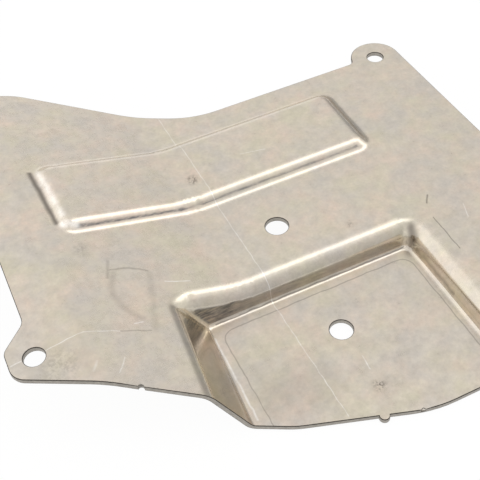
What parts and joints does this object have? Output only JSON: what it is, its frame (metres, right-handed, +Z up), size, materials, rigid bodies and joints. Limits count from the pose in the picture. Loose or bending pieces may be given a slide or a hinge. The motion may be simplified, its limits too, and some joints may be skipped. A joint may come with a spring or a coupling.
{
  "type": "oil pan skid plate",
  "caption": "Folded aluminium sheet guard with a recess pressed in at its front edge, a raised stiffening pad across the fold, ear lugs and bolt holes, fixed under an engine's oil pan.",
  "frame": {"origin": "centre of the hole between the pad and the recess, on the upper face of the main flat", "axes": "+X along the back wall of the recess towards the plain right edge, +Y towards the back edge with its lug, +Z up out of the face the picture shows"},
  "size_m": [0.2544, 0.2485, 0.0338],
  "materials": {
    "aluminium_sheet": "bare mill finish, handled and lightly scratched"
  },
  "bodies": {
    "root": {"skid_plate": "aluminium_sheet"}
  },
  "joints": []
}
